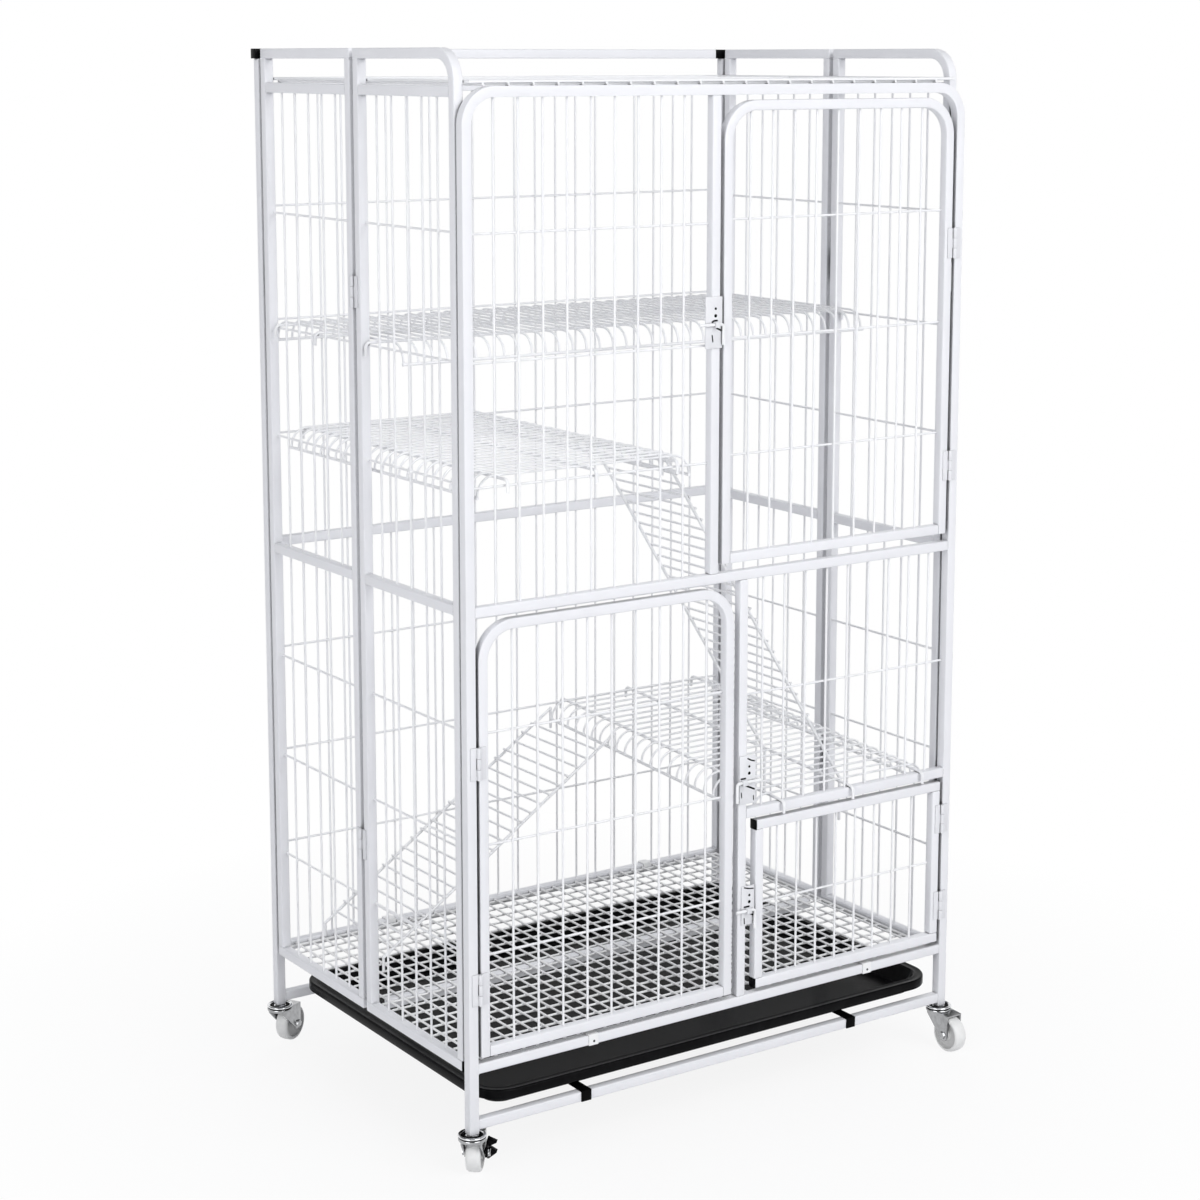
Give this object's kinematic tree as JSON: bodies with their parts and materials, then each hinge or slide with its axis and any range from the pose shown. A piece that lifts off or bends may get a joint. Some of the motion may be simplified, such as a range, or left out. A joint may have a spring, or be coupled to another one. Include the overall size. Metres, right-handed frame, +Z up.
{
  "type": "folding cat playpen",
  "caption": "Tall white folding wire cat cage on casters with swinging doors, wire shelves, ladders, wire floor and a slide-out black tray.",
  "frame": {"origin": "centre of the cage's footprint on the ground, level with the lowest points of the four wheels", "axes": "+Z up, -Y out through the front with the three doors, +X to the right as seen from the front"},
  "size_m": [0.8029, 0.621, 1.3875],
  "materials": {
    "white_tube": "smooth white powder coat",
    "white_wire": "white powder coat on drawn wire",
    "white_fitting": "white powder coat on stamped sheet",
    "hinge_pin_steel": "plain drawn steel",
    "black_plastic": "fine matt moulded",
    "black_strap": "satin black strap steel",
    "zinc_steel": "bright zinc plate",
    "wheel_plastic": "smooth white nylon"
  },
  "bodies": {
    "cage": {"front_hoop": "white_tube", "front_mid_bar": "white_tube", "front_bottom_bar": "white_tube", "front_lower_rail": "white_tube", "upper_mullion": "white_tube", "lower_mullion": "white_tube", "hook_bar": "white_tube", "front_upper_wires": "white_wire", "front_lower_wires": "white_wire", "rear_posts": "white_tube", "rear_bars": "white_tube", "rear_wires": "white_wire", "left_front_half": "white_tube", "left_rear_half": "white_tube", "right_front_half": "white_tube", "right_rear_half": "white_tube", "left_front_wires": "white_wire", "left_rear_wires": "white_wire", "right_front_wires": "white_wire", "right_rear_wires": "white_wire", "fold_hinges": "white_fitting", "corner_hinges": "white_fitting", "tube_caps": "black_plastic", "roof_panel": "white_wire", "floor_grid": "white_wire", "floor_stiffener": "white_tube", "tray_runners": "black_strap", "top_shelf": "white_wire", "middle_shelf": "white_wire", "low_shelf": "white_wire", "upper_ladder": "white_wire", "lower_ladder": "white_wire", "frame_hinge_leaves": "white_fitting", "hinge_pins": "hinge_pin_steel", "latch_plates": "white_fitting", "caster_stems": "zinc_steel"},
    "upper_door": {"upper_door_frame": "white_tube", "upper_door_wires": "white_wire", "upper_door_leaves": "white_fitting"},
    "left_door": {"left_door_frame": "white_tube", "left_door_wires": "white_wire", "left_door_leaves": "white_fitting"},
    "small_door": {"small_door_frame": "white_tube", "small_door_wires": "white_wire", "small_door_leaves": "white_fitting", "small_door_caps": "black_plastic"},
    "upper_latch_bolt": {"upper_bolt": "white_wire"},
    "left_latch_bolt": {"left_bolt": "white_wire"},
    "small_latch_bolt": {"small_bolt": "white_wire"},
    "litter_tray": {"tray": "black_plastic"},
    "caster_front_left": {"fork_front_left": "zinc_steel"},
    "roller_front_left": {"wheel_front_left": "wheel_plastic"},
    "caster_front_right": {"fork_front_right": "zinc_steel"},
    "roller_front_right": {"wheel_front_right": "wheel_plastic"},
    "caster_rear_left": {"fork_rear_left": "zinc_steel"},
    "roller_rear_left": {"wheel_rear_left": "wheel_plastic"},
    "caster_rear_right": {"fork_rear_right": "zinc_steel"},
    "roller_rear_right": {"wheel_rear_right": "wheel_plastic"},
    "brake_front_left": {"pedal_front_left": "black_plastic"},
    "brake_rear_right": {"pedal_rear_right": "black_plastic"}
  },
  "joints": [
    {"name": "upper_door_hinge", "type": "hinge", "parent": "cage", "child": "upper_door", "pos_m": [0.3745, -0.2698, 1.03], "axis": [0, 0, 1], "range_deg": [0, 175]},
    {"name": "left_door_hinge", "type": "hinge", "parent": "cage", "child": "left_door", "pos_m": [-0.37475, -0.2698, 0.43], "axis": [0, 0, -1], "range_deg": [0, 175]},
    {"name": "small_door_hinge", "type": "hinge", "parent": "cage", "child": "small_door", "pos_m": [0.3745, -0.2698, 0.27], "axis": [0, 0, 1], "range_deg": [0, 175]},
    {"name": "upper_bolt_slide", "type": "slide", "parent": "cage", "child": "upper_latch_bolt", "axis": [1, 0, 0], "range_m": [0, 0.022]},
    {"name": "left_bolt_slide", "type": "slide", "parent": "cage", "child": "left_latch_bolt", "axis": [-1, 0, 0], "range_m": [0, 0.022]},
    {"name": "small_bolt_slide", "type": "slide", "parent": "cage", "child": "small_latch_bolt", "axis": [1, 0, 0], "range_m": [0, 0.015]},
    {"name": "tray_slide", "type": "slide", "parent": "cage", "child": "litter_tray", "axis": [0, -1, 0], "range_m": [0, 0.45]},
    {"name": "swivel_front_left", "type": "hinge", "parent": "cage", "child": "caster_front_left", "pos_m": [-0.3835, -0.2605, 0.052], "axis": [0, 0, 1], "continuous": true},
    {"name": "spin_front_left", "type": "hinge", "parent": "caster_front_left", "child": "roller_front_left", "pos_m": [-0.36743, -0.24135, 0.025], "axis": [-0.766, 0.6428, 0], "continuous": true},
    {"name": "brake_front_left", "type": "hinge", "parent": "caster_front_left", "child": "brake_front_left", "pos_m": [-0.36743, -0.24135, 0.025], "axis": [-0.766, 0.6428, 0], "range_deg": [0, 15]},
    {"name": "swivel_front_right", "type": "hinge", "parent": "cage", "child": "caster_front_right", "pos_m": [0.3835, -0.2605, 0.052], "axis": [0, 0, 1], "continuous": true},
    {"name": "spin_front_right", "type": "hinge", "parent": "caster_front_right", "child": "roller_front_right", "pos_m": [0.3835, -0.2855, 0.025], "axis": [1, 0, 0], "continuous": true},
    {"name": "swivel_rear_left", "type": "hinge", "parent": "cage", "child": "caster_rear_left", "pos_m": [-0.3835, 0.2605, 0.052], "axis": [0, 0, 1], "continuous": true},
    {"name": "spin_rear_left", "type": "hinge", "parent": "caster_rear_left", "child": "roller_rear_left", "pos_m": [-0.36185, 0.273, 0.025], "axis": [-0.5, 0.866, 0], "continuous": true},
    {"name": "swivel_rear_right", "type": "hinge", "parent": "cage", "child": "caster_rear_right", "pos_m": [0.3835, 0.2605, 0.052], "axis": [0, 0, 1], "continuous": true},
    {"name": "spin_rear_right", "type": "hinge", "parent": "caster_rear_right", "child": "roller_rear_right", "pos_m": [0.3835, 0.2855, 0.025], "axis": [-1, 0, 0], "continuous": true},
    {"name": "brake_rear_right", "type": "hinge", "parent": "caster_rear_right", "child": "brake_rear_right", "pos_m": [0.3835, 0.2855, 0.025], "axis": [-1, 0, 0], "range_deg": [0, 15]}
  ]
}
